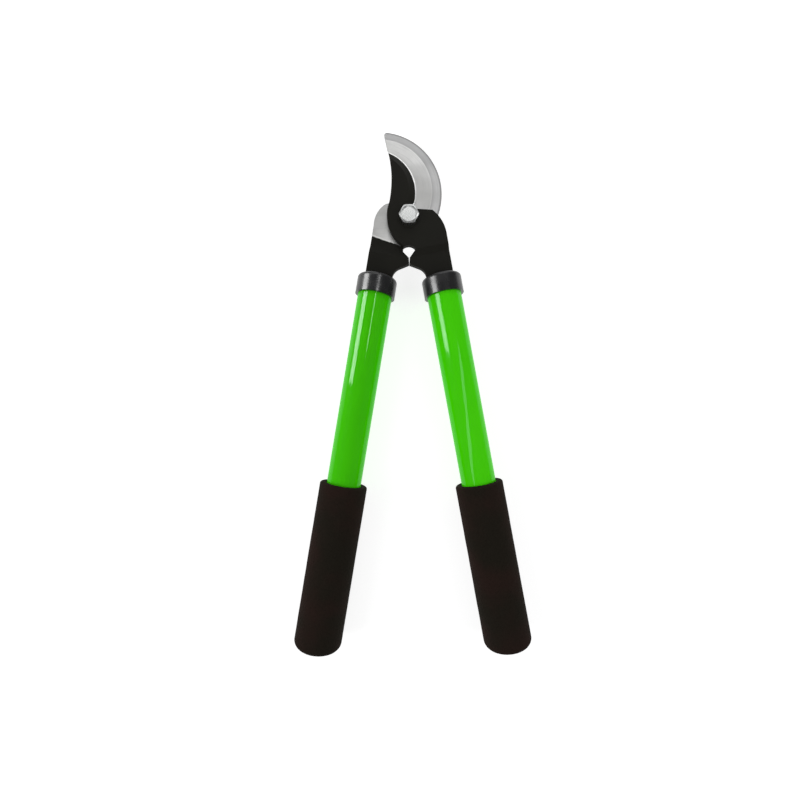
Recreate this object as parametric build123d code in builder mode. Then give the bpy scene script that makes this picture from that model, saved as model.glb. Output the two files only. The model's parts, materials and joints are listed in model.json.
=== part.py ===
from build123d import *
import os
from math import cos, radians, sin

# Bypass loppers, 15 inch class, lying flat with the jaws closed. Millimetres.
# X runs across the tool, Y along it towards the jaw tips, Z up. The origin is on the ground,
# under the middle of the tool's outline. The blade arm (right) turns on the pivot bolt over the
# hook arm (left). The two plates meet at the shear plane, which also holds both handle axes.

# --- handles -------------------------------------------------------------------------------
half_angle = 9.9          # degrees from the Y axis to each handle, jaws closed
handle_offset = 15.4      # from the pivot to each handle's axis, square to it
tube_radius = 12.5
tube_wall = 1.2
tube_start = 48.8         # stations along a handle are counted from level with the pivot
tube_end = 317.0
ferrule_radius = 14.5
ferrule_start = 46.7
ferrule_end = 60.4
ferrule_round = 2.3
grip_radius = 17.3
grip_start = 200.0
grip_end = 320.6
grip_wall_end = 318.2     # inside face of the grip's closed end
grip_top_round = 1.3
grip_end_round = 4.8
plug_start = 300.0
plug_wall = 1.6
insert_end = 100.0
flute_radius = 1.3
flute_count = 8
pin_radius = 1.75
pin_half_length = 12.3
pin_stations = {"upper": 53.4, "lower": 57.6}

# --- tangs ---------------------------------------------------------------------------------
tang_half = 2.0           # half the tang's thickness
tang_outer = 24.8         # from the pivot to the tang's outer edge, square to the handle
tang_inner = 5.0          # the same to its inner edge
outer_line_top = 16.8     # station where the outer edge starts to curve into the jaw
crotch_station = 39.8
crotch_round = 8.6
shoulder_station = 50.0
tail_half = 8.0
tail_end = 97.0
tail_corner = 3.0
joggle_start = 24.0       # the plate steps over to the middle of the handle between these
joggle_end = 28.8
slot_clearance = 0.1

# --- stop lobes, about the pivot -------------------------------------------------------------
fan_corner = (4.4, -24.3)
stop_top = (0.35, -29.2)
stop_bottom = (0.08, -33.8)
tang_root = (4.4, -17.5)
fan_round = 0.8
dome_centre = (-0.32, -26.9)    # rounded top of the opening over the stops
dome_radius = 6.0

# --- jaws ------------------------------------------------------------------------------------
running_gap = 0.1
blade_thickness = 4.0
hook_thickness = 4.5

edge_centre = (-26.2, 19.2)     # cutting edge of the blade
edge_radius = 31.95
edge_land = 0.25
micro_bevel_width = 1.1
micro_bevel_rise = 0.8
bevel_width = 5.6
bevel_start_angle = -18.0
bevel_sweep = 110.0

rim_centre = (-21.4, 20.1)      # outer edge of the hook
rim_radius = 46.05
rim_bevel_width = 7.25
rim_bevel_drop = 3.0
rim_end_angle = -25.0
rim_bevel_sweep = 130.0
tip_round = 2.4

throat_centre = (-34.0, 18.6)   # concave cutting edge of the hook
throat_radius = 36.3
throat_top_angle = 58.0
throat_relief_width = 3.0
throat_relief_depth = 3.0
throat_start_angle = -5.0
throat_sweep = 70.0

# --- pivot -----------------------------------------------------------------------------------
shank_radius = 3.95
blade_bore_radius = 4.0
hex_across_flats = 13.0
hex_corner_radius = 7.15
head_height = 4.6
head_turned_run = 1.6           # cone turned on the head's corners, and on the nut's
head_turned_drop = 1.0
nut_turned_run = 0.9
nut_turned_drop = 0.6
head_dish_radius = 5.7
head_dish_floor_radius = 5.0
head_dish_depth = 1.1
washer_radius = 8.0
washer_bore_radius = 4.2
washer_thickness = 1.6
nut_hex_height = 6.4
nut_collar_radius = 5.9
nut_collar_height = 1.7
nut_collar_round = 0.6
ring_radius = 5.0
ring_start = 5.8                # below the nut's bearing face
ring_end = 7.7
nut_lip_radius = 4.4
shank_stand_out = 1.3
thread_chamfer = 0.8
small_chamfer = 0.3

# --- places worked out from the sizes above ----------------------------------------------------
lean = radians(half_angle)
shear_z = grip_radius
reach_up = rim_centre[1] + rim_radius - 0.33     # the rounded hook tip ends just below the rim circle
reach_down = (
    (grip_end - grip_end_round) * cos(lean)
    + (grip_radius - grip_end_round) * sin(lean)
    + grip_end_round
    - handle_offset * sin(lean)
)
pivot_y = (reach_down - reach_up) / 2
blade_floor = running_gap
blade_top = running_gap + blade_thickness
hook_floor = -hook_thickness
head_seat = blade_top + running_gap
washer_floor = hook_floor - washer_thickness
nut_floor = washer_floor - nut_hex_height - nut_collar_height
shank_end = nut_floor - shank_stand_out

sides = {"left": -1, "right": 1}
os.makedirs("parts", exist_ok=True)


def jaw_plane(height):
    """Plane about the pivot, a height above the shear plane."""
    return Plane((0, pivot_y, shear_z + height))


def station(side, across, down):
    """Point about the pivot, from its distances square to a handle and down along it."""
    return (side * (across * cos(lean) + down * sin(lean)), across * sin(lean) - down * cos(lean))


def handle_plane(side):
    """Plane with its origin level with the pivot on a handle's axis: x outwards, y down the handle."""
    x, y = station(side, handle_offset, 0)
    outwards = Vector(side * cos(lean), sin(lean), 0)
    down = Vector(side * sin(lean), -cos(lean), 0)
    return Plane((x, pivot_y + y, shear_z), x_dir=outwards, z_dir=outwards.cross(down))


def handle_axis(side):
    plane = handle_plane(side)
    return Axis(plane.origin, plane.y_dir)


def cross_plane(side, down):
    """Plane square to a handle's axis at a station, facing down the handle."""
    plane = handle_plane(side)
    return Plane(plane.origin + plane.y_dir * down, x_dir=plane.x_dir, z_dir=plane.y_dir)


def radial_plane(centre, angle):
    """Upright plane through a centre beside the pivot: x outwards at an angle, y up."""
    outwards = Vector(cos(radians(angle)), sin(radians(angle)), 0)
    origin = (centre[0], pivot_y + centre[1], shear_z)
    return Plane(origin, x_dir=outwards, z_dir=outwards.cross(Vector(0, 0, 1)))


def ring_axis(centre):
    return Axis((centre[0], pivot_y + centre[1], shear_z), (0, 0, 1))


def on_circle(centre, radius, angle):
    return (centre[0] + radius * cos(radians(angle)), centre[1] + radius * sin(radians(angle)))


def add_tang_face(side):
    """Tang and stop lobe, the same on both plates: from the jaw's root down into the tube."""
    tail_out = handle_offset + tail_half
    tail_in = handle_offset - tail_half
    with BuildLine() as outline:
        Polyline(
            (side * tang_root[0], tang_root[1]),
            (side * fan_corner[0], fan_corner[1]),
            (side * stop_top[0], stop_top[1]),
            (side * stop_bottom[0], stop_bottom[1]),
            station(side, tang_inner, crotch_station),
            station(side, tang_inner, shoulder_station),
            station(side, tail_in, shoulder_station),
            station(side, tail_in, tail_end - tail_corner),
            station(side, tail_in + tail_corner, tail_end),
            station(side, tail_out - tail_corner, tail_end),
            station(side, tail_out, tail_end - tail_corner),
            station(side, tail_out, shoulder_station),
            station(side, tang_outer, shoulder_station),
            station(side, tang_outer, outer_line_top),
            close=True,
        )
    make_face(outline.edges())


def joggle(side, jaw_floor, jaw_top):
    """Keep only a strip that steps from the jaw's layer to the middle of the handle."""
    down = Vector(side * sin(lean), -cos(lean), 0)
    far = 200
    side_plane = Plane((0, pivot_y, shear_z), x_dir=down, z_dir=down.cross(Vector(0, 0, 1)))
    with BuildSketch(side_plane) as strip:
        Polygon(
            (-far, jaw_floor),
            (joggle_start, jaw_floor),
            (joggle_end, -tang_half),
            (far, -tang_half),
            (far, tang_half),
            (joggle_end, tang_half),
            (joggle_start, jaw_top),
            (-far, jaw_top),
            align=None,
        )
    extrude(strip.sketch, amount=far, both=True, mode=Mode.INTERSECT)


def round_crotch_and_fan(sketch, side):
    """Round the tang's two inside corners."""
    crotch = Vector(*station(side, tang_inner, crotch_station))
    fan = Vector(side * fan_corner[0], fan_corner[1])
    for corner, radius in ((crotch, crotch_round), (fan, fan_round)):
        fillet(sketch.vertices().sort_by_distance(corner)[0], radius)


def drill_pin_holes(side, reach):
    """Holes for the cross pins, through everything within reach of the handle's axis."""
    with BuildSketch(handle_plane(side)) as holes:
        with Locations(*[(0, down) for down in pin_stations.values()]):
            Circle(pin_radius)
    extrude(holes.sketch, amount=reach, both=True, mode=Mode.SUBTRACT)


def cut_ring(centre, start_angle, sweep, *corners):
    """Grind away a ring whose section is given by radii and heights about a centre."""
    with BuildSketch(radial_plane(centre, start_angle)) as section:
        Polygon(*corners, align=None)
    revolve(section.sketch, axis=ring_axis(centre), revolution_arc=sweep, mode=Mode.SUBTRACT)


def hexagon(height_plane, depth):
    """Hexagon bar across the pivot, with two corners on X, and its corners turned round."""
    with BuildSketch(height_plane) as section:
        RegularPolygon(hex_across_flats / 2, 6, major_radius=False)
        Circle(hex_corner_radius, mode=Mode.INTERSECT)
    extrude(section.sketch, amount=depth)


def turn_corners(face_height, run, drop):
    """Turn a cone on a hexagon's corners at its upper face, or with a negative drop its lower one."""
    over = 0.4
    outer_radius = hex_corner_radius + over
    with BuildSketch(radial_plane((0, 0), 0)) as section:
        Polygon(
            (hex_corner_radius - run, face_height),
            (outer_radius, face_height - drop * (run + over) / run),
            (outer_radius, face_height + drop),
            (hex_corner_radius - run, face_height + drop),
            align=None,
        )
    revolve(section.sketch, axis=ring_axis((0, 0)), mode=Mode.SUBTRACT)


# --- cutting blade: the black upper plate, with its tang in the right handle -------------------
blade_tip = on_circle(edge_centre, edge_radius, 69.1)
edge_middle = on_circle(edge_centre, edge_radius, 25.0)
edge_heel = on_circle(edge_centre, edge_radius, -19.0)
heel_arc_radius = 27.15
heel_arc_centre = station(1, tang_outer - heel_arc_radius, outer_line_top)
heel_corner = on_circle(heel_arc_centre, heel_arc_radius, 52.3)
heel_middle = on_circle(heel_arc_centre, heel_arc_radius, 30.0)
dome_left = on_circle(dome_centre, dome_radius, 133.0)
dome_top = on_circle(dome_centre, dome_radius, 90.0)
dome_right = on_circle(dome_centre, dome_radius, 30.0)

with BuildPart() as cutting_blade:
    with BuildSketch(jaw_plane(hook_floor)) as blade_outline:
        with BuildLine():
            ThreePointArc(blade_tip, (-12.4, 27.0), (-14.1, 10.6))
            ThreePointArc((-14.1, 10.6), (-15.95, -0.5), (-14.4, -8.2))
            ThreePointArc((-14.4, -8.2), (-10.4, -15.4), (-4.4, -21.2))
            Line((-4.4, -21.2), dome_left)
            ThreePointArc(dome_left, dome_top, dome_right)
            Polyline(
                dome_right,
                (12.0, -28.0),
                station(1, tang_outer, outer_line_top + 8),
                station(1, tang_outer, outer_line_top),
            )
            ThreePointArc(station(1, tang_outer, outer_line_top), heel_middle, heel_corner)
            Line(heel_corner, (5.6, 5.4))
            ThreePointArc((5.6, 5.4), (3.9, 6.5), edge_heel)
            ThreePointArc(edge_heel, edge_middle, blade_tip)
        make_face()
        add_tang_face(1)
        round_crotch_and_fan(blade_outline, 1)
    extrude(amount=hook_thickness + blade_top)
    joggle(1, blade_floor, blade_top)
    with BuildSketch(jaw_plane(blade_floor)):
        Circle(blade_bore_radius)
    extrude(amount=blade_thickness, mode=Mode.SUBTRACT)
    drill_pin_holes(1, tube_radius)
    micro_radius = edge_radius - micro_bevel_width
    bevel_radius = edge_radius - bevel_width
    edge_z = blade_floor + edge_land
    micro_z = edge_z + micro_bevel_rise
    clear = 6
    cut_ring(
        edge_centre,
        bevel_start_angle,
        bevel_sweep,
        (bevel_radius, blade_top),
        (micro_radius, micro_z),
        (edge_radius, edge_z),
        (edge_radius + clear, edge_z),
        (edge_radius + clear, blade_top + 1),
        (bevel_radius, blade_top + 1),
    )
cutting_blade.part.label = "cutting_blade"

# --- hook jaw: the lower plate, with its tang in the left handle -------------------------------
rim_tip = on_circle(rim_centre, rim_radius, 86.2)
rim_middle = on_circle(rim_centre, rim_radius, 30.0)
rim_end = on_circle(rim_centre, rim_radius, rim_end_angle)
beak = on_circle(throat_centre, throat_radius, throat_top_angle)
throat_middle = on_circle(throat_centre, throat_radius, 25.0)
throat_end = on_circle(throat_centre, throat_radius, throat_start_angle)
gullet_end = (-2.5, 11.4)

with BuildPart() as hook_jaw:
    with BuildSketch(jaw_plane(hook_floor)) as hook_outline:
        with BuildLine():
            ThreePointArc(rim_tip, rim_middle, rim_end)
            ThreePointArc(rim_end, (14.0, -13.4), (-1.5, -18.5))
            Polyline(
                (-1.5, -18.5),
                (-4.4, -18.3),
                (-12.0, -28.0),
                station(-1, tang_outer, outer_line_top),
                station(-1, tang_outer, 9.0),
            )
            ThreePointArc(station(-1, tang_outer, 9.0), (-24.6, 2.2), (-18.9, 9.9))
            ThreePointArc((-18.9, 9.9), (-17.0, 11.1), (-14.6, 11.7))
            Line((-14.6, 11.7), gullet_end)
            ThreePointArc(gullet_end, (0.9, 12.6), throat_end)
            ThreePointArc(throat_end, throat_middle, beak)
            Line(beak, rim_tip)
        make_face()
        add_tang_face(-1)
        round_crotch_and_fan(hook_outline, -1)
        fillet(hook_outline.vertices().sort_by_distance(Vector(*rim_tip))[0], tip_round)
    extrude(amount=hook_thickness + blade_top)
    joggle(-1, hook_floor, 0)
    with BuildSketch(jaw_plane(hook_floor)):
        Circle(shank_radius)
    extrude(amount=hook_thickness, mode=Mode.SUBTRACT)
    drill_pin_holes(-1, tube_radius)
    bevel_slope = rim_bevel_drop / rim_bevel_width
    over = 3
    cut_ring(
        rim_centre,
        rim_end_angle,
        rim_bevel_sweep,
        (rim_radius - rim_bevel_width, 0),
        (rim_radius + over, -rim_bevel_drop - over * bevel_slope),
        (rim_radius + over, 1),
        (rim_radius - rim_bevel_width, 1),
    )
    cut_ring(
        throat_centre,
        throat_start_angle,
        throat_sweep,
        (throat_radius - 1, hook_floor + throat_relief_depth),
        (throat_radius, hook_floor + throat_relief_depth),
        (throat_radius + throat_relief_width, hook_floor),
        (throat_radius + throat_relief_width, hook_floor - 1),
        (throat_radius - 1, hook_floor - 1),
    )
hook_jaw.part.label = "hook_jaw"

# --- pivot bolt: hexagon head with a dished face, plain shank -----------------------------------
head_top = head_seat + head_height
with BuildPart() as pivot_bolt:
    hexagon(jaw_plane(head_seat), head_height)
    turn_corners(head_top, head_turned_run, head_turned_drop)
    with BuildSketch(radial_plane((0, 0), 0)):
        Polygon(
            (0, head_top - head_dish_depth),
            (head_dish_floor_radius, head_top - head_dish_depth),
            (head_dish_radius, head_top),
            (0, head_top),
            align=None,
        )
    revolve(axis=ring_axis((0, 0)), mode=Mode.SUBTRACT)
    with BuildSketch(jaw_plane(shank_end)):
        Circle(shank_radius)
    extrude(amount=head_seat - shank_end)
    chamfer(pivot_bolt.edges().group_by(Axis.Z)[0], thread_chamfer)
pivot_bolt.part.label = "pivot_bolt"

# --- washer, lock nut and the nylon ring in the nut's collar ---------------------------------------
with BuildPart() as pivot_washer:
    with BuildSketch(jaw_plane(washer_floor)):
        Circle(washer_radius)
        Circle(washer_bore_radius, mode=Mode.SUBTRACT)
    extrude(amount=washer_thickness)
    chamfer(pivot_washer.edges().group_by(Axis.Z)[0].sort_by(SortBy.LENGTH)[-1], small_chamfer)
pivot_washer.part.label = "pivot_washer"

with BuildPart() as pivot_nut:
    hexagon(jaw_plane(washer_floor - nut_hex_height), nut_hex_height)
    turn_corners(washer_floor - nut_hex_height, nut_turned_run, -nut_turned_drop)
    with BuildSketch(jaw_plane(nut_floor)):
        Circle(nut_collar_radius)
    extrude(amount=nut_collar_height)
    fillet(pivot_nut.edges().group_by(Axis.Z)[0], nut_collar_round)
    with BuildSketch(radial_plane((0, 0), 0)):
        Polygon(
            (0, washer_floor),
            (shank_radius, washer_floor),
            (shank_radius, washer_floor - ring_start),
            (ring_radius, washer_floor - ring_start),
            (ring_radius, washer_floor - ring_end),
            (nut_lip_radius, washer_floor - ring_end),
            (nut_lip_radius, nut_floor),
            (0, nut_floor),
            align=None,
        )
    revolve(axis=ring_axis((0, 0)), mode=Mode.SUBTRACT)
pivot_nut.part.label = "pivot_nut"

with BuildPart() as nut_locking_ring:
    with BuildSketch(jaw_plane(washer_floor - ring_end)):
        Circle(ring_radius)
        Circle(shank_radius, mode=Mode.SUBTRACT)
    extrude(amount=ring_end - ring_start)
nut_locking_ring.part.label = "nut_locking_ring"


# --- handles: tube, ferrule, tang insert, cross pins, plug and foam grip ---------------------------
def make_tube(side):
    with BuildPart() as tube:
        with BuildSketch(cross_plane(side, tube_start)):
            Circle(tube_radius)
            Circle(tube_radius - tube_wall, mode=Mode.SUBTRACT)
        extrude(amount=tube_end - tube_start)
        drill_pin_holes(side, tube_radius + 1)
    return tube.part


def make_ferrule(side):
    """Collar over the tube's mouth, closed by a lip with a slot for the tang."""
    with BuildPart() as ferrule:
        with BuildSketch(handle_plane(side)) as wall:
            Polygon(
                (0, ferrule_start),
                (ferrule_radius, ferrule_start),
                (ferrule_radius, ferrule_end),
                (tube_radius, ferrule_end),
                (tube_radius, tube_start),
                (0, tube_start),
                align=None,
            )
            fillet(wall.vertices().sort_by_distance(Vector(ferrule_radius, ferrule_start))[0], ferrule_round)
        revolve(axis=handle_axis(side))
        outer = tang_outer - handle_offset + slot_clearance
        inner = tang_inner - handle_offset - slot_clearance
        with BuildSketch(handle_plane(side)):
            Polygon(
                (inner, ferrule_start),
                (outer, ferrule_start),
                (outer, tube_start),
                (inner, tube_start),
                align=None,
            )
        extrude(amount=tang_half + slot_clearance, both=True, mode=Mode.SUBTRACT)
    return ferrule.part


def make_tang_insert(side):
    """Fluted plug that fills the tube's mouth and grips the tang in a slot."""
    insert_radius = tube_radius - tube_wall
    with BuildPart() as insert:
        with BuildSketch(cross_plane(side, tube_start)):
            Circle(insert_radius)
            with PolarLocations(insert_radius, flute_count, start_angle=180 / flute_count):
                Circle(flute_radius, mode=Mode.SUBTRACT)
        extrude(amount=insert_end - tube_start)
        with BuildSketch(jaw_plane(0)):
            add_tang_face(side)
        extrude(amount=tang_half, both=True, mode=Mode.SUBTRACT)
        drill_pin_holes(side, tube_radius)
    return insert.part


def make_pin(side, down):
    with BuildPart() as pin:
        with BuildSketch(handle_plane(side)):
            with Locations((0, down)):
                Circle(pin_radius)
        extrude(amount=pin_half_length, both=True)
        chamfer(pin.edges().filter_by(GeomType.CIRCLE), small_chamfer)
    return pin.part


def make_plug(side):
    """Cup pressed into the tube's end, with a flange over the tube's edge."""
    plug_radius = tube_radius - tube_wall
    with BuildPart() as plug:
        with BuildSketch(handle_plane(side)):
            Polygon(
                (0, grip_wall_end),
                (tube_radius, grip_wall_end),
                (tube_radius, tube_end),
                (plug_radius, tube_end),
                (plug_radius, plug_start),
                (plug_radius - plug_wall, plug_start),
                (plug_radius - plug_wall, tube_end - plug_wall),
                (0, tube_end - plug_wall),
                align=None,
            )
        revolve(axis=handle_axis(side))
    return plug.part


def make_grip(side):
    """Foam sleeve with a closed, rounded end."""
    with BuildPart() as grip:
        with BuildSketch(handle_plane(side)) as wall:
            Polygon(
                (tube_radius, grip_start),
                (grip_radius, grip_start),
                (grip_radius, grip_end),
                (0, grip_end),
                (0, grip_wall_end),
                (tube_radius, grip_wall_end),
                align=None,
            )
            fillet(wall.vertices().sort_by_distance(Vector(grip_radius, grip_start))[0], grip_top_round)
            fillet(wall.vertices().sort_by_distance(Vector(grip_radius, grip_end))[0], grip_end_round)
        revolve(axis=handle_axis(side))
    return grip.part


pieces = [cutting_blade, hook_jaw, pivot_bolt, pivot_washer, pivot_nut, nut_locking_ring]
for piece in pieces:
    export_step(piece.part, f"parts/{piece.part.label}.step")

makers = {
    "tube": make_tube,
    "ferrule": make_ferrule,
    "tang_insert": make_tang_insert,
    "tube_plug": make_plug,
    "grip": make_grip,
}
for side_name, side in sides.items():
    for piece_name, make in makers.items():
        piece = make(side)
        piece.label = f"{side_name}_{piece_name}"
        export_step(piece, f"parts/{piece.label}.step")
    for pin_name, down in pin_stations.items():
        pin = make_pin(side, down)
        pin.label = f"{side_name}_{pin_name}_pin"
        export_step(pin, f"parts/{pin.label}.step")
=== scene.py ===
import bmesh
import bpy
import json
from math import cos, pi, radians, sin
from mathutils import Matrix, Vector, noise


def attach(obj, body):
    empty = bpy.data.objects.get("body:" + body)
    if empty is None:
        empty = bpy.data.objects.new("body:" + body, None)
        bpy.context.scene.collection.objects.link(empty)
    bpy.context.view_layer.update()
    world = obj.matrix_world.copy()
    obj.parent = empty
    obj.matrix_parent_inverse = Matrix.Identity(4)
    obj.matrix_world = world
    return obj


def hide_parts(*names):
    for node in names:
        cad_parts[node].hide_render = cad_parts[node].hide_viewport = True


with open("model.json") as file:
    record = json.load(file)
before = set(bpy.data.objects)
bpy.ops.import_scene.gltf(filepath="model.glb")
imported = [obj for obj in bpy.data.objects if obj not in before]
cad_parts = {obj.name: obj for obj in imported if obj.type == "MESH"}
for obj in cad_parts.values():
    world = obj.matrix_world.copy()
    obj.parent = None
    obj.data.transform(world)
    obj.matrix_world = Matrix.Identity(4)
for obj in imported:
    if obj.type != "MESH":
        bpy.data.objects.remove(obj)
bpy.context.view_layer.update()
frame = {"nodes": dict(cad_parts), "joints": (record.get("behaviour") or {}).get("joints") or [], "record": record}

# The tool lies on the floor with its jaws closed. X runs across it, Y along it to the jaw tips.
MM = 0.001
nodes = frame["nodes"]
pivot = Vector(frame["joints"][0]["pos_m"])
mounts = {mount["name"]: mount for mount in frame["record"]["mounts"]}
SIDES = {"left": "hook_arm", "right": "blade_arm"}
PLATES = ("hook_jaw", "cutting_blade")
FASTENERS = ("pivot_bolt", "pivot_washer", "pivot_nut")

# Camera: straight above the handles and close by, so the near ends look large.
CAMERA_PLACE = pivot + Vector((-4.6, -150.5, 294.5)) * MM
CAMERA_TURN = radians(-0.53)
SENSOR_WIDTH = 36
LENS = 18
LENS_SHIFT = (-0.0056, 0.0294)

# Cutting blade: circle of the ground edge, and where the bright band ends at the heel.
EDGE_CENTRE = pivot + Vector((-26.2, 19.2, 0)) * MM
EDGE_RADIUS = 31.95 * MM
GROUND_EDGE_WIDTH = 1.15 * MM
HEEL_DIRECTION = (0.25, 1.0, 0)
HEEL_START = 8.2 * MM

# Hook: circle of its back, the two ends of the paint line, and the centre of a painted pool of light above that
# line.
RIM_CENTRE = pivot + Vector((-21.4, 20.1, 0)) * MM
RIM_RADIUS = 46.05 * MM
BEVEL_START = RIM_RADIUS - 7.25 * MM
PAINT_LEFT = pivot + Vector((-28.0, -12.1, 0)) * MM
PAINT_RIGHT = pivot + Vector((-6.4, -19.7, 0)) * MM
PAINTED_LIGHT_CENTRE = pivot + Vector((-13.0, -20.0, 0)) * MM

# Bolt: the thread is drawn on the shank's far end only.
SHANK_RADIUS = 4.1 * MM
THREAD_TOP = pivot.z - 6.5 * MM
THREAD_PITCH = 1.25 * MM

# Foam grips: stations are metres from the middle of the grip, down the handle.
GRIP_RADIUS = 17.3 * MM
TUBE_RADIUS = 12.5 * MM
GRIP_TOP = -58.6 * MM
GRIP_END = 62.0 * MM
GRIP_INNER_END = 59.6 * MM
GRIP_TOP_ROUND = 1.6 * MM
GRIP_END_ROUND = 4.8 * MM
GRIP_MOUTH_ROUND = 0.8 * MM
GRIP_MOUTH_STEP = 0.1 * MM
GRIP_BORE_GAP = 0.02 * MM
GRIP_RINGS = 96
GRIP_SEGMENTS = 128

# The foam's skin lies inward by a base value, more in smooth hollows and in fine cells.
SETTLE_BASE = 0.04 * MM
HOLLOW_DEPTH = 0.09 * MM
CELL_DEPTH = 0.04 * MM
HOLLOWS_PER_METRE = 70
CELLS_PER_METRE = 900
HOLLOW_SHIFT = {"left": 9, "right": 3}

# Studio: the places that lights are aimed at, and sizes, in metres.
MIDDLE = Vector((0, 0, 0))
JAWS = Vector((0, 0.15, 0))
BOLT_CARD_REACH = 1.05
BOLT_CARD_HEIGHT = 0.50
FLOOR_HALF = 20.0
FLOOR_GAP = 0.05 * MM
FLOOR_GREY = 0.45
FLOOR_GLOW = 0.82
WORLD_GLOW = 0.15


# --- camera ------------------------------------------------------------------------------------
def make_camera():
    data = bpy.data.cameras.new("camera")
    data.sensor_width = SENSOR_WIDTH
    data.lens = LENS
    data.shift_x, data.shift_y = LENS_SHIFT
    data.clip_start = 0.005
    camera = bpy.data.objects.new("camera", data)
    bpy.context.scene.collection.objects.link(camera)
    camera.location = CAMERA_PLACE
    camera.rotation_euler = (0, 0, CAMERA_TURN)
    bpy.context.scene.camera = camera


# --- shader helpers ----------------------------------------------------------------------------
class Shader:
    """A material's node tree, with short calls for the nodes that this scene uses."""

    def __init__(self, name):
        self.material = bpy.data.materials.new(name)
        self.material.use_nodes = True
        self.tree = self.material.node_tree
        self.tree.nodes.clear()
        self.output = self.tree.nodes.new("ShaderNodeOutputMaterial")
        self.bsdf = self.tree.nodes.new("ShaderNodeBsdfPrincipled")
        self.link(self.bsdf.outputs[0], self.output.inputs[0])
        self.position = self.tree.nodes.new("ShaderNodeTexCoord").outputs["Object"]

    def link(self, source, target):
        self.tree.links.new(source, target)

    def feed(self, socket, value):
        """Link a value that comes from a node, or set a plain one."""
        if isinstance(value, bpy.types.NodeSocket):
            self.link(value, socket)
        else:
            socket.default_value = value

    def maths(self, operation, *values):
        node = self.tree.nodes.new("ShaderNodeMath")
        node.operation = operation
        for socket, value in zip(node.inputs, values):
            self.feed(socket, value)
        return node.outputs[0]

    def add(self, first, second):
        return self.maths("ADD", first, second)

    def times(self, first, second):
        return self.maths("MULTIPLY", first, second)

    def vector(self, operation, *values):
        node = self.tree.nodes.new("ShaderNodeVectorMath")
        node.operation = operation
        for socket, value in zip(node.inputs, values):
            self.feed(socket, value)
        return node.outputs["Value"] if operation in ("LENGTH", "DOT_PRODUCT") else node.outputs[0]

    def axes(self, vector):
        """The vector's X, Y and Z as three values."""
        node = self.tree.nodes.new("ShaderNodeSeparateXYZ")
        self.link(vector, node.inputs[0])
        return node.outputs

    def ramp(self, value, low, high, to_low=0.0, to_high=1.0, smooth=True):
        """Value carried from the range low to high onto the range to_low to to_high, clamped."""
        node = self.tree.nodes.new("ShaderNodeMapRange")
        node.interpolation_type = "SMOOTHSTEP" if smooth else "LINEAR"
        for socket, item in zip(node.inputs, (value, low, high, to_low, to_high)):
            self.feed(socket, item)
        return node.outputs[0]

    def band(self, value, middle, half_width, strength):
        """Strength at a middle value, falling to nothing half_width away from it."""
        away = self.maths("ABSOLUTE", self.maths("SUBTRACT", value, middle))
        return self.ramp(away, 0, half_width, strength, 0)

    def noise(self, vector, scale, detail=3.0, roughness=0.5):
        node = self.tree.nodes.new("ShaderNodeTexNoise")
        self.feed(node.inputs["Vector"], vector)
        node.inputs["Scale"].default_value = scale
        node.inputs["Detail"].default_value = detail
        node.inputs["Roughness"].default_value = roughness
        return node.outputs[0]

    def cells(self, vector, scale):
        node = self.tree.nodes.new("ShaderNodeTexVoronoi")
        self.feed(node.inputs["Vector"], vector)
        node.inputs["Scale"].default_value = scale
        return node.outputs["Distance"]

    def mix(self, factor, first, second):
        """Colour between two others; each is a triple or comes from a node."""
        node = self.tree.nodes.new("ShaderNodeMix")
        node.data_type = "RGBA"
        self.feed(node.inputs["Factor"], factor)
        colour_sockets = (node.inputs[6], node.inputs[7])
        for socket, colour in zip(colour_sockets, (first, second)):
            self.feed(socket, colour if isinstance(colour, bpy.types.NodeSocket) else (*colour, 1))
        return node.outputs[2]

    def bump(self, height, strength, distance, edge_round=0.0):
        """Bump map, over corners that look rounded by edge_round."""
        node = self.tree.nodes.new("ShaderNodeBump")
        node.inputs["Strength"].default_value = strength
        node.inputs["Distance"].default_value = distance
        self.link(height, node.inputs["Height"])
        if edge_round:
            corner = self.tree.nodes.new("ShaderNodeBevel")
            corner.inputs["Radius"].default_value = edge_round
            self.link(corner.outputs[0], node.inputs["Normal"])
        self.link(node.outputs[0], self.bsdf.inputs["Normal"])

    def set(self, **values):
        """Set the shader's own sockets, such as Base_Color, by name."""
        for name, value in values.items():
            if name.endswith("Color") and not isinstance(value, bpy.types.NodeSocket):
                value = (*value, 1)
            self.feed(self.bsdf.inputs[name.replace("_", " ")], value)

    def flat_offset(self, centre):
        """Place in the XY plane, counted from an upright axis through a point."""
        moved = self.vector("SUBTRACT", self.position, tuple(centre))
        return self.vector("MULTIPLY", moved, (1, 1, 0))

    def arc_lines(self, centre, lines_per_metre, lines_per_radian):
        """Radius from an upright axis, and noise drawn out along circles round it."""
        offset = self.flat_offset(centre)
        x, y, _ = self.axes(offset)
        radius = self.vector("LENGTH", offset)
        angle = self.maths("ARCTAN2", y, x)
        join = self.tree.nodes.new("ShaderNodeCombineXYZ")
        self.link(self.times(radius, lines_per_metre), join.inputs[0])
        self.link(self.times(angle, lines_per_radian), join.inputs[1])
        return radius, self.noise(join.outputs[0], scale=1.0, detail=4.0, roughness=0.6)


def dress(node, shader):
    """Give a node this one material."""
    data = nodes[node].data
    data.materials.clear()
    data.materials.append(shader.material)


# --- materials ---------------------------------------------------------------------------------
def black_coat_values(shader):
    """Colour, roughness and grain of the satin black coating on the plates."""
    cloud = shader.noise(shader.position, scale=45, detail=4)
    grain = shader.noise(shader.position, scale=2600, detail=3)
    colour = shader.mix(cloud, (0.0110, 0.0108, 0.0090), (0.0165, 0.0160, 0.0132))
    rough = shader.ramp(shader.add(cloud, grain), 0.7, 1.3, 0.46, 0.60)
    return colour, rough, grain


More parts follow.
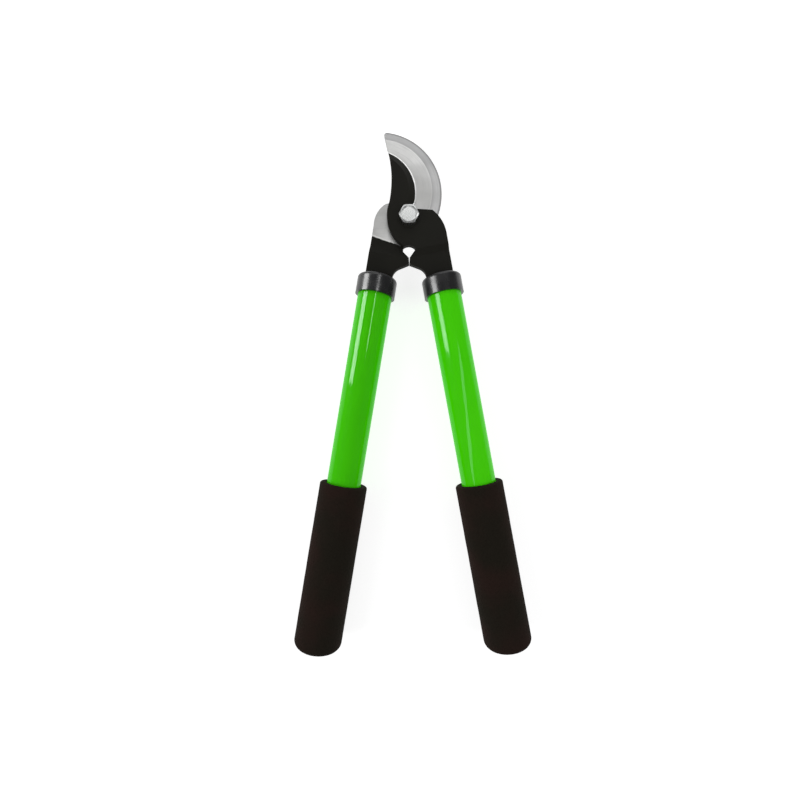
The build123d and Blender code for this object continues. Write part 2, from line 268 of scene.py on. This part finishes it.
def make_blade_steel():
    """Black coating, with a bright band where the cutting edge is ground."""
    shader = Shader("blade_coated_steel")
    colour, rough, grain = black_coat_values(shader)
    radius, lines = shader.arc_lines(EDGE_CENTRE, 9000, 14)

    # The band starts at a slightly wavy line inside the edge, and stops at the blade's heel.
    waver = shader.times(shader.noise(shader.position, scale=220, detail=2), 0.3 * MM)
    worn = shader.add(waver, EDGE_RADIUS - GROUND_EDGE_WIDTH)
    band = shader.ramp(radius, worn, shader.add(worn, 0.12 * MM))
    reach = shader.maths("LESS_THAN", radius, EDGE_RADIUS + 0.3 * MM)
    heel = shader.vector("DOT_PRODUCT", shader.flat_offset(pivot), HEEL_DIRECTION)
    past_heel = shader.ramp(heel, HEEL_START, HEEL_START + 0.4 * MM)
    bright = shader.times(band, shader.times(reach, past_heel))

    ground = shader.mix(lines, (0.86, 0.86, 0.86), (0.97, 0.97, 0.96))
    shader.set(
        Base_Color=shader.mix(bright, colour, ground),
        Metallic=bright,
        Roughness=shader.ramp(bright, 0, 1, rough, 0.48, smooth=False),
        Specular_IOR_Level=0.05,
    )
    height = shader.add(shader.times(grain, 0.7), shader.times(lines, bright))
    shader.bump(height, 0.35, 0.04 * MM, edge_round=0.30 * MM)
    return shader


def height_above_paint(shader):
    """Distance above the paint line on the hook, with a slight waver."""
    along = PAINT_RIGHT - PAINT_LEFT
    across = Vector((-along.y, along.x, 0)).normalized()
    height = shader.vector("DOT_PRODUCT", shader.flat_offset(PAINT_LEFT), tuple(across))
    cloud = shader.noise(shader.position, scale=160, detail=2)
    waver = shader.ramp(cloud, 0.3, 0.7, -0.12 * MM, 0.12 * MM)
    return shader.add(height, waver)


def steel_colour_with_painted_light(shader, radius, lines, broad, above):
    """Colour of the hook's bare steel, from its tip down to the paint line, with painted light and shade."""
    # Painted light and shade: the flat is lighter at the tip and the bevel darker there; the flat is also darker
    # above the bolt.
    upward = shader.vector("DOT_PRODUCT", shader.flat_offset(pivot), (0, 1, 0))
    tip = shader.ramp(upward, 37.5 * MM, 43 * MM, 0, 0.4)
    above_bolt = shader.ramp(upward, 1 * MM, 5 * MM, 0, 0.27)
    flat = shader.mix(lines, (0.53, 0.53, 0.525), (0.67, 0.67, 0.66))
    flat = shader.mix(above_bolt, flat, (0.35, 0.35, 0.345))
    flat = shader.mix(tip, flat, (0.80, 0.80, 0.79))
    bevel = shader.mix(lines, (0.565, 0.565, 0.568), (0.725, 0.725, 0.729))
    bevel = shader.mix(tip, bevel, (0.43, 0.43, 0.433))
    in_bevel = shader.ramp(radius, BEVEL_START - 0.1 * MM, BEVEL_START + 0.1 * MM)
    steel = shader.mix(in_bevel, flat, bevel)

    # Wheel marks, and a darker strip along the inside of the bevel.
    wheel_marks = shader.arc_lines(RIM_CENTRE, 1100, 2.2)[1]
    steel = shader.mix(shader.ramp(wheel_marks, 0.48, 0.72, 0.0, 0.45), steel, (0.43, 0.43, 0.43))
    inner_bevel = shader.ramp(radius, BEVEL_START, RIM_RADIUS - 4.2 * MM, 0.55, 0)
    steel = shader.mix(shader.times(inner_bevel, in_bevel), steel, (0.40, 0.40, 0.405))

    # A painted highlight along the ridge where the bevel starts, and a painted shade line along the rim.
    painted_ridge_highlight = shader.band(radius, BEVEL_START - 0.35 * MM, 0.5 * MM, 0.3)
    steel = shader.mix(painted_ridge_highlight, steel, (0.86, 0.86, 0.85))
    painted_rim_shade = shader.band(radius, RIM_RADIUS - 0.5 * MM, 1.3 * MM, 0.8)
    steel = shader.mix(painted_rim_shade, steel, (0.20, 0.20, 0.205))

    # Broad stains, a painted pool of light in the corner under the blade where the blade shades the steel, and a
    # painted highlight along the paint.
    steel = shader.mix(shader.ramp(broad, 0.3, 0.75, 0.0, 0.30), steel, (0.44, 0.435, 0.42))
    # Painted light: the steel is lightened round this centre, where the blade above it shades it.
    from_painted_light = shader.vector("LENGTH", shader.flat_offset(PAINTED_LIGHT_CENTRE))
    painted_light_pool = shader.ramp(from_painted_light, 1 * MM, 17.5 * MM, 1, 0, smooth=False)
    steel = shader.mix(painted_light_pool, steel, (0.97, 0.97, 0.95))
    # Painted highlight: a bright line just above the paint edge.
    painted_edge_highlight = shader.band(above, 0.75 * MM, 0.8 * MM, 0.9)
    return shader.mix(painted_edge_highlight, steel, (0.95, 0.95, 0.93))


def make_hook_steel():
    """Ground bright steel with a bevel round its back; the tang below the paint line is black."""
    shader = Shader("hook_ground_steel")
    colour, rough, grain = black_coat_values(shader)
    radius, lines = shader.arc_lines(RIM_CENTRE, 5200, 9)
    broad = shader.noise(shader.position, scale=60, detail=3)
    above = height_above_paint(shader)
    bare = shader.ramp(above, -0.05 * MM, 0.12 * MM)
    # The steel's colour carries painted light and shade as well as its own grinding marks and stains.
    steel = steel_colour_with_painted_light(shader, radius, lines, broad, above)
    steel_rough = shader.ramp(shader.add(lines, broad), 0.6, 1.4, 0.36, 0.50)
    shader.set(
        Base_Color=shader.mix(bare, colour, steel),
        Metallic=bare,
        Roughness=shader.ramp(bare, 0, 1, rough, steel_rough, smooth=False),
        Specular_IOR_Level=0.05,
    )
    relief = shader.add(shader.times(lines, bare), shader.times(grain, 0.5))
    shader.bump(relief, 0.30, 0.03 * MM, edge_round=0.30 * MM)
    return shader


def make_zinc():
    """Bright zinc plate with turned rings, and the shank's thread as fine grooves."""
    shader = Shader("zinc_plate")
    radius, rings = shader.arc_lines(pivot, 5200, 1.5)
    mottled = shader.noise(shader.position, scale=700, detail=3)
    blend = shader.add(shader.times(rings, 0.5), shader.times(mottled, 0.5))
    shader.set(
        Base_Color=shader.mix(blend, (0.75, 0.765, 0.76), (0.85, 0.86, 0.85)),
        Metallic=1.0,
        Roughness=shader.ramp(blend, 0.3, 0.7, 0.20, 0.33),
    )
    z = shader.axes(shader.position)[2]
    turns = shader.maths("SINE", shader.times(z, 2 * pi / THREAD_PITCH))
    on_shank = shader.maths("LESS_THAN", radius, SHANK_RADIUS)
    below = shader.maths("LESS_THAN", z, THREAD_TOP)
    thread = shader.times(turns, shader.times(on_shank, below))
    height = shader.add(shader.times(rings, 0.012), thread)
    shader.bump(height, 0.5, 0.12 * MM, edge_round=0.35 * MM)
    return shader


def make_powder_coat():
    """Glossy green powder coat, with a faint orange-peel surface."""
    shader = Shader("green_powder_coat")
    cloud = shader.noise(shader.position, scale=35, detail=3)
    peel = shader.noise(shader.position, scale=750, detail=2)
    shader.set(
        Base_Color=shader.mix(cloud, (0.056, 0.660, 0.0006), (0.072, 0.720, 0.0012)),
        Roughness=shader.ramp(peel, 0.3, 0.7, 0.30, 0.38),
        Specular_IOR_Level=0.0,
        Coat_Weight=0.5,
        Coat_Roughness=0.07,
    )
    shader.bump(peel, 0.012, 0.03 * MM, edge_round=0.2 * MM)
    return shader


def make_gloss_plastic():
    """Glossy black plastic of the collars."""
    shader = Shader("black_gloss_plastic")
    cloud = shader.noise(shader.position, scale=120, detail=3)
    fine = shader.noise(shader.position, scale=1400, detail=2)
    shader.set(
        Base_Color=shader.mix(cloud, (0.010, 0.010, 0.011), (0.020, 0.020, 0.021)),
        Roughness=shader.ramp(cloud, 0.3, 0.7, 0.23, 0.31),
        Specular_IOR_Level=0.55,
    )
    shader.bump(fine, 0.10, 0.03 * MM, edge_round=0.3 * MM)
    return shader


def make_plain(name, dark, light, rough, metallic=0.0):
    """Moulded plastic or plain steel of the small inner pieces."""
    shader = Shader(name)
    cloud = shader.noise(shader.position, scale=400, detail=4)
    shader.set(
        Base_Color=shader.mix(cloud, dark, light),
        Metallic=metallic,
        Roughness=shader.ramp(cloud, 0.3, 0.7, rough - 0.06, rough + 0.06),
    )
    shader.bump(cloud, 0.2, 0.05 * MM, edge_round=0.2 * MM)
    return shader


def make_foam():
    """Closed-cell black foam: small open cells in a matt skin, with painted shade darkening the cells, faintly
    warm in patches.
    """
    shader = Shader("black_foam")
    pores = shader.cells(shader.position, 1500)
    coarse = shader.noise(shader.position, scale=900, detail=4)
    warmth = shader.ramp(shader.noise(shader.position, scale=28, detail=3), 0.35, 0.65)
    skin = shader.mix(warmth, (0.0180, 0.0152, 0.0112), (0.0265, 0.0155, 0.0126))
    # Painted shade: the cells are darker than the skin, as shade in the hollows.
    pit = shader.ramp(pores, 0.08, 0.34)
    shader.set(
        Base_Color=shader.mix(pit, (0.0060, 0.0052, 0.0042), skin),
        Roughness=shader.ramp(coarse, 0.3, 0.7, 0.86, 0.97),
        Specular_IOR_Level=0.05,
    )
    shader.bump(shader.add(pit, coarse), 0.55, 0.16 * MM)
    return shader


# --- foam grips --------------------------------------------------------------------------------
def arc(centre_radius, centre_station, radius, start, end, count):
    """Points (radius, station) along a rounded corner, between two angles in degrees."""
    for step in range(count + 1):
        angle = radians(start + (end - start) * step / count)
        yield (centre_radius + radius * cos(angle), centre_station + radius * sin(angle))


def grip_profile():
    """Closed profile of the foam sleeve: from the axis inside, up the tube, down the outside."""
    inner = TUBE_RADIUS + GRIP_BORE_GAP
    mouth = GRIP_TOP + GRIP_MOUTH_STEP + GRIP_MOUTH_ROUND
    points = [(0.0, GRIP_INNER_END), (inner, GRIP_INNER_END), (inner, 0.0)]
    points.append((inner, mouth + GRIP_MOUTH_STEP))
    points += arc(inner + GRIP_MOUTH_ROUND, mouth, GRIP_MOUTH_ROUND, 180, 270, 4)

    straight_start = GRIP_TOP + GRIP_TOP_ROUND
    straight_end = GRIP_END - GRIP_END_ROUND
    points += arc(GRIP_RADIUS - GRIP_TOP_ROUND, straight_start, GRIP_TOP_ROUND, -90, 0, 6)
    for step in range(1, GRIP_RINGS):
        along = straight_start + (straight_end - straight_start) * step / GRIP_RINGS
        points.append((GRIP_RADIUS, along))

    end_radius = GRIP_RADIUS - GRIP_END_ROUND
    points += arc(end_radius, straight_end, GRIP_END_ROUND, 0, 90, 14)
    end_rings = 8
    for step in range(1, end_rings):
        points.append((end_radius * (1 - step / end_rings), GRIP_END))
    points.append((0.0, GRIP_END))
    return points


def settled(point, side):
    """The point of the foam's skin moved inward, by smooth hollows and by fine cells."""
    shift = Vector((0, 0, HOLLOW_SHIFT[side]))
    hollow = noise.fractal(point * HOLLOWS_PER_METRE + shift, 1.0, 2.0, 3)
    cell = noise.noise(point * CELLS_PER_METRE)
    inward = SETTLE_BASE + HOLLOW_DEPTH * hollow + CELL_DEPTH * cell
    station = min(max(point.z, GRIP_TOP + 5 * MM), GRIP_END - GRIP_END_ROUND)
    centre = Vector((0, 0, station))
    return point - (point - centre).normalized() * max(inward, 0)


def grip_ring(build, radius, along, side):
    """One ring of the sleeve, or a single point where the profile meets the axis."""
    if radius == 0:
        return [build.verts.new((0, 0, along))]
    on_skin = radius > TUBE_RADIUS + 1 * MM or along > GRIP_INNER_END
    ring = []
    for step in range(GRIP_SEGMENTS):
        angle = 2 * pi * step / GRIP_SEGMENTS
        point = Vector((radius * cos(angle), radius * sin(angle), along))
        ring.append(build.verts.new(settled(point, side) if on_skin else point))
    return ring


def bridge(build, first, second):
    """Faces between two rings; either may be a single point."""
    for step in range(GRIP_SEGMENTS):
        after = (step + 1) % GRIP_SEGMENTS
        if len(first) == 1:
            build.faces.new((first[0], second[after], second[step]))
        elif len(second) == 1:
            build.faces.new((first[step], first[after], second[0]))
        else:
            build.faces.new((first[step], first[after], second[after], second[step]))


def make_grip(side, body, shader):
    """Foam sleeve, turned from its profile, with soft hollows where the foam has settled."""
    build = bmesh.new()
    rings = [grip_ring(build, radius, along, side) for radius, along in grip_profile()]
    for first, second in zip(rings, rings[1:]):
        bridge(build, first, second)
    bmesh.ops.recalc_face_normals(build, faces=build.faces)
    mesh = bpy.data.meshes.new(f"{side}_foam_grip")
    build.to_mesh(mesh)
    build.free()

    mount = mounts[f"{side}_grip_hold"]
    down = Vector(mount["axis"]).normalized()
    up = Vector((0, 0, 1))
    turn = Matrix((up.cross(down), up, down)).transposed()
    mesh.transform(Matrix.Translation(Vector(mount["pos_m"])) @ turn.to_4x4())
    mesh.polygons.foreach_set("use_smooth", [True] * len(mesh.polygons))
    mesh.materials.append(shader.material)

    grip = bpy.data.objects.new(f"{side}_foam_grip", mesh)
    bpy.context.scene.collection.objects.link(grip)
    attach(grip, body)
    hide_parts(f"{side}_grip")


# --- floor and light ---------------------------------------------------------------------------
def make_floor():
    """White floor that glows a little, so that it comes out as plain as the photo's background."""
    mesh = bpy.data.meshes.new("floor")
    corners = [(x * FLOOR_HALF, y * FLOOR_HALF, 0) for x, y in ((-1, -1), (1, -1), (1, 1), (-1, 1))]
    mesh.from_pydata(corners, [], [(0, 1, 2, 3)])
    floor = bpy.data.objects.new("floor", mesh)
    floor.location.z = -FLOOR_GAP
    bpy.context.scene.collection.objects.link(floor)
    shader = Shader("floor_white")
    shader.set(Base_Color=(FLOOR_GREY,) * 3, Roughness=0.9, Specular_IOR_Level=0.0)
    shader.set(Emission_Color=(1, 1, 1), Emission_Strength=FLOOR_GLOW)
    mesh.materials.append(shader.material)


def add_light(name, place, target, size, glow, only=(), diffuse=True, glossy=True):
    """Soft box aimed at a point. Its size is its width and its length, which runs up the picture;
    glow is its radiance; only keeps its effect to some of the nodes."""
    width, length = size
    data = bpy.data.lights.new(name, "AREA")
    data.shape = "RECTANGLE"
    data.size = width
    data.size_y = length
    data.energy = glow * pi * width * length
    light = bpy.data.objects.new(name, data)
    bpy.context.scene.collection.objects.link(light)
    light.location = place
    light.rotation_euler = (Vector(target) - Vector(place)).to_track_quat("-Z", "Y").to_euler()
    light.visible_diffuse = diffuse
    light.visible_glossy = glossy
    if only:
        receivers = bpy.data.collections.new(name + "_receivers")
        for node in only:
            receivers.objects.link(nodes[node])
        light.light_linking.receiver_collection = receivers
    return light


def add_strip(side, kind, start, end, width, glow):
    """Strip light from one point to another, facing the tool, that shows only as a streak in one
    handle's tube and collar."""
    start, end = Vector(start), Vector(end)
    middle = (start + end) / 2
    along = (end - start).normalized()
    back = (middle - along * middle.dot(along)).normalized()
    size = (width, (end - start).length)
    handle = (f"{side}_tube", f"{side}_ferrule")
    name = f"{side}_{kind}_strip"
    strip = add_light(name, middle, MIDDLE, size, glow, only=handle, diffuse=False)
    strip.rotation_euler = Matrix((along.cross(back), along, back)).transposed().to_euler()


def add_bolt_card(side, turn, glow):
    """Card beside the bolt at a turn in degrees, mirrored in its head."""
    across = Vector((cos(radians(turn)), sin(radians(turn)), 0)) * BOLT_CARD_REACH
    place = pivot + across + Vector((0, 0, BOLT_CARD_HEIGHT))
    add_light(f"bolt_card_{side}", place, pivot, (1.3, 0.6), glow, only=("pivot_bolt",))


def make_light():
    world = bpy.data.worlds.new("studio")
    bpy.context.scene.world = world
    world.use_nodes = True
    background = world.node_tree.nodes["Background"]
    background.inputs["Color"].default_value = (1, 1, 1, 1)
    background.inputs["Strength"].default_value = WORLD_GLOW

    # Beyond the jaws, mirrored in the steel. The last two are for steel pieces only.
    add_light("back_box", (0.0, 1.2, 1.1), JAWS, (1.3, 0.9), 1.45)
    add_light("back_card", (0.0, 1.3, 0.3), JAWS, (1.8, 0.5), 0.6)
    steel = PLATES + FASTENERS
    add_light("bevel_box", (0.75, 0.60, 0.85), JAWS, (0.9, 0.9), 0.95, only=steel, diffuse=False)
    blade = ("cutting_blade",)
    add_light("edge_card", (0.45, 1.10, 0.34), JAWS, (1.1, 0.5), 1.7, only=blade, diffuse=False)

    # Plain light that no piece mirrors: from the front, from both sides, and from above.
    add_light("front_box", (0.0, -0.9, 1.1), JAWS, (1.3, 0.9), 1.6, only=PLATES, glossy=False)
    add_light("left_box", (-1.4, -0.2, 0.9), MIDDLE, (1.0, 1.6), 2.6, glossy=False)
    add_light("right_box", (1.4, -0.2, 0.9), MIDDLE, (1.0, 1.6), 1.7, glossy=False)
    tube = ("right_tube",)
    add_light("right_fill", (0.2, 0.0, 1.3), MIDDLE, (0.8, 1.0), 1.2, only=tube, glossy=False)

    add_bolt_card("left", 180, 0.7)
    add_bolt_card("front", 270, 1.6)
    add_bolt_card("right", 0, 0.5)

    # Streaks along the handles, two on each.
    add_strip("left", "wide", (-0.560, 0.460, 0.340), (-0.642, 0.165, 0.353), 0.36, 14)
    add_strip("left", "thin", (0.186, 0.330, 0.662), (0.163, 0.109, 0.697), 0.08, 11)
    add_strip("right", "wide", (-0.570, 0.280, 0.405), (-0.564, 0.035, 0.422), 0.34, 12)
    add_strip("right", "thin", (0.330, 0.185, 0.660), (-0.430, -0.278, 0.560), 0.07, 3.0)
    bpy.context.scene.view_settings.view_transform = "Standard"


# --- the scene ---------------------------------------------------------------------------------
make_camera()
make_floor()
make_light()

zinc = make_zinc()
gloss = make_gloss_plastic()
green = make_powder_coat()
foam = make_foam()
inner_plastic = make_plain("grey_plastic", (0.05, 0.05, 0.055), (0.09, 0.09, 0.095), 0.5)
nylon = make_plain("nylon", (0.68, 0.69, 0.64), (0.80, 0.80, 0.76), 0.45)
pin_steel = make_plain("pin_steel", (0.34, 0.34, 0.35), (0.50, 0.50, 0.51), 0.35, metallic=1.0)

dress("cutting_blade", make_blade_steel())
dress("hook_jaw", make_hook_steel())
for name in FASTENERS:
    dress(name, zinc)
dress("nut_locking_ring", nylon)
for side, body in SIDES.items():
    dress(f"{side}_tube", green)
    dress(f"{side}_ferrule", gloss)
    dress(f"{side}_tang_insert", inner_plastic)
    dress(f"{side}_tube_plug", inner_plastic)
    dress(f"{side}_upper_pin", pin_steel)
    dress(f"{side}_lower_pin", pin_steel)
    make_grip(side, body, foam)
